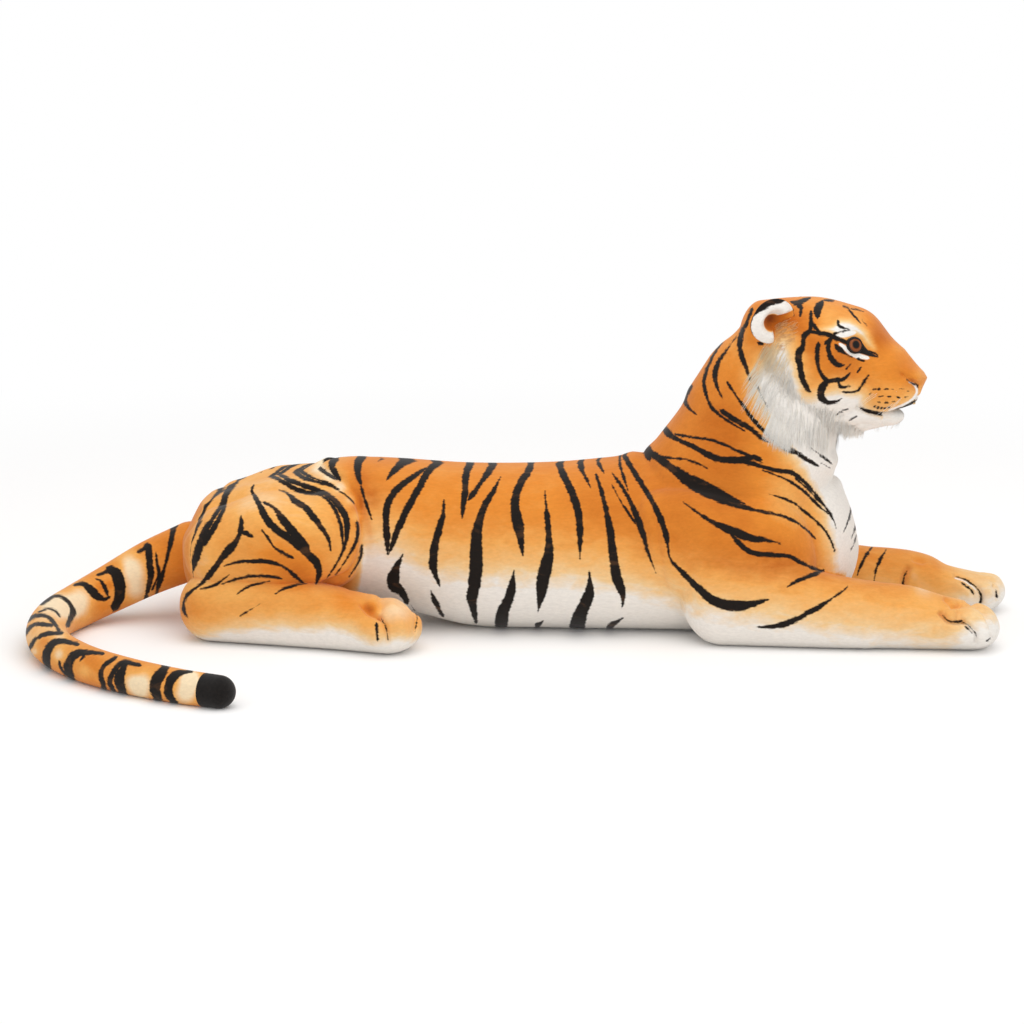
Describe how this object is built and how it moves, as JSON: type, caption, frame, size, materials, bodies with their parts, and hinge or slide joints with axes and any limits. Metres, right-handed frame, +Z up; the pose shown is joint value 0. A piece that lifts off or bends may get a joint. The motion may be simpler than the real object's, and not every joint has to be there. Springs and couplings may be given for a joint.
{
  "type": "plush tiger",
  "caption": "Plush tiger lying down with its head up, its forelegs stretched out ahead, its hind legs folded and its tail curled round on the floor.",
  "frame": {"origin": "on the floor under the middle of the belly", "axes": "+X from the rump to the head, +Z up, -Y to the tiger's right side, which its tail curls round on"},
  "size_m": [1.3841, 0.7171, 0.4906],
  "materials": {
    "orange_plush": "short plush pile, printed with black stripes, fading to white below",
    "white_plush": "long white plush pile",
    "black_plush": "short black plush pile",
    "nose_plush": "short tan plush pile",
    "black_felt": "black felt",
    "fibre": "loose polyester fibre",
    "eye_plastic": "clear moulded eye over a painted brown iris",
    "washer_nylon": "moulded natural nylon"
  },
  "bodies": {
    "torso": {"torso_cover": "orange_plush", "torso_filling": "fibre", "right_haunch_cover": "orange_plush", "right_haunch_filling": "fibre", "left_haunch_cover": "orange_plush", "left_haunch_filling": "fibre", "right_upper_foreleg_cover": "orange_plush", "right_upper_foreleg_filling": "fibre", "left_upper_foreleg_cover": "orange_plush", "left_upper_foreleg_filling": "fibre"},
    "neck": {"neck_cover": "orange_plush", "neck_filling": "fibre"},
    "head": {"head_cover": "orange_plush", "head_filling": "fibre", "chin": "white_plush", "nose_patch": "nose_plush", "right_eye": "eye_plastic", "right_eye_washer": "washer_nylon", "right_eyelid": "black_felt", "right_cheek_ruff": "white_plush", "left_eye": "eye_plastic", "left_eye_washer": "washer_nylon", "left_eyelid": "black_felt", "left_cheek_ruff": "white_plush"},
    "right_ear": {"right_ear": "orange_plush", "right_ear_lining": "white_plush"},
    "left_ear": {"left_ear": "orange_plush", "left_ear_lining": "white_plush"},
    "right_foot": {"right_foot_cover": "orange_plush", "right_foot_filling": "fibre"},
    "left_foot": {"left_foot_cover": "orange_plush", "left_foot_filling": "fibre"},
    "right_forearm": {"right_forearm_cover": "orange_plush", "right_forearm_filling": "fibre"},
    "left_forearm": {"left_forearm_cover": "orange_plush", "left_forearm_filling": "fibre"},
    "tail_base": {"tail_base_cover": "orange_plush", "tail_base_filling": "fibre"},
    "tail_middle": {"tail_middle_cover": "orange_plush", "tail_middle_filling": "fibre"},
    "tail_end": {"tail_end_cover": "orange_plush", "tail_end_filling": "fibre", "tail_tip_cover": "black_plush", "tail_tip_filling": "fibre"}
  },
  "joints": [
    {"name": "neck_turn", "type": "hinge", "parent": "torso", "child": "neck", "pos_m": [0.31011, 0, 0.246], "axis": [0, 0, 1], "range_deg": [-20, 20], "stiffness_Nm_per_rad": 6},
    {"name": "head_nod", "type": "hinge", "parent": "neck", "child": "head", "pos_m": [0.42259, -0.02391, 0.39], "axis": [0.2064, 0.9709, -0.1219], "range_deg": [-12, 12], "stiffness_Nm_per_rad": 12},
    {"name": "right_ear_fold", "type": "hinge", "parent": "head", "child": "right_ear", "pos_m": [0.36311, -0.09625, 0.4381], "axis": [0.8816, 0.4634, 0.0895], "range_deg": [-15, 15], "stiffness_Nm_per_rad": 0.05},
    {"name": "left_ear_fold", "type": "hinge", "parent": "head", "child": "left_ear", "pos_m": [0.39958, 0.07534, 0.41656], "axis": [-0.6254, 0.7422, -0.2408], "range_deg": [-15, 15], "stiffness_Nm_per_rad": 0.05},
    {"name": "right_forearm_lift", "type": "hinge", "parent": "torso", "child": "right_forearm", "pos_m": [0.5, -0.11316, 0.0465], "axis": [0, -1, 0], "range_deg": [0, 18], "stiffness_Nm_per_rad": 2},
    {"name": "left_forearm_lift", "type": "hinge", "parent": "torso", "child": "left_forearm", "pos_m": [0.5, 0.11316, 0.0465], "axis": [0, -1, 0], "range_deg": [0, 18], "stiffness_Nm_per_rad": 2},
    {"name": "right_foot_swing", "type": "hinge", "parent": "torso", "child": "right_foot", "pos_m": [-0.41198, -0.11785, 0], "axis": [0, 0, -1], "range_deg": [0, 12], "stiffness_Nm_per_rad": 2},
    {"name": "left_foot_swing", "type": "hinge", "parent": "torso", "child": "left_foot", "pos_m": [-0.41198, 0.11785, 0], "axis": [0, 0, 1], "range_deg": [0, 12], "stiffness_Nm_per_rad": 2},
    {"name": "tail_root_swing", "type": "hinge", "parent": "torso", "child": "tail_base", "pos_m": [-0.4617, 0, 0.1015], "axis": [0, 0, 1], "range_deg": [-20, 12], "stiffness_Nm_per_rad": 1},
    {"name": "tail_middle_swing", "type": "hinge", "parent": "tail_base", "child": "tail_middle", "pos_m": [-0.62062, -0.06072, 0.031], "axis": [0, 0, 1], "range_deg": [-20, 12], "stiffness_Nm_per_rad": 0.6},
    {"name": "tail_end_swing", "type": "hinge", "parent": "tail_middle", "child": "tail_end", "pos_m": [-0.60595, -0.28511, 0.02638], "axis": [0, 0, 1], "range_deg": [-20, 12], "stiffness_Nm_per_rad": 0.4}
  ]
}
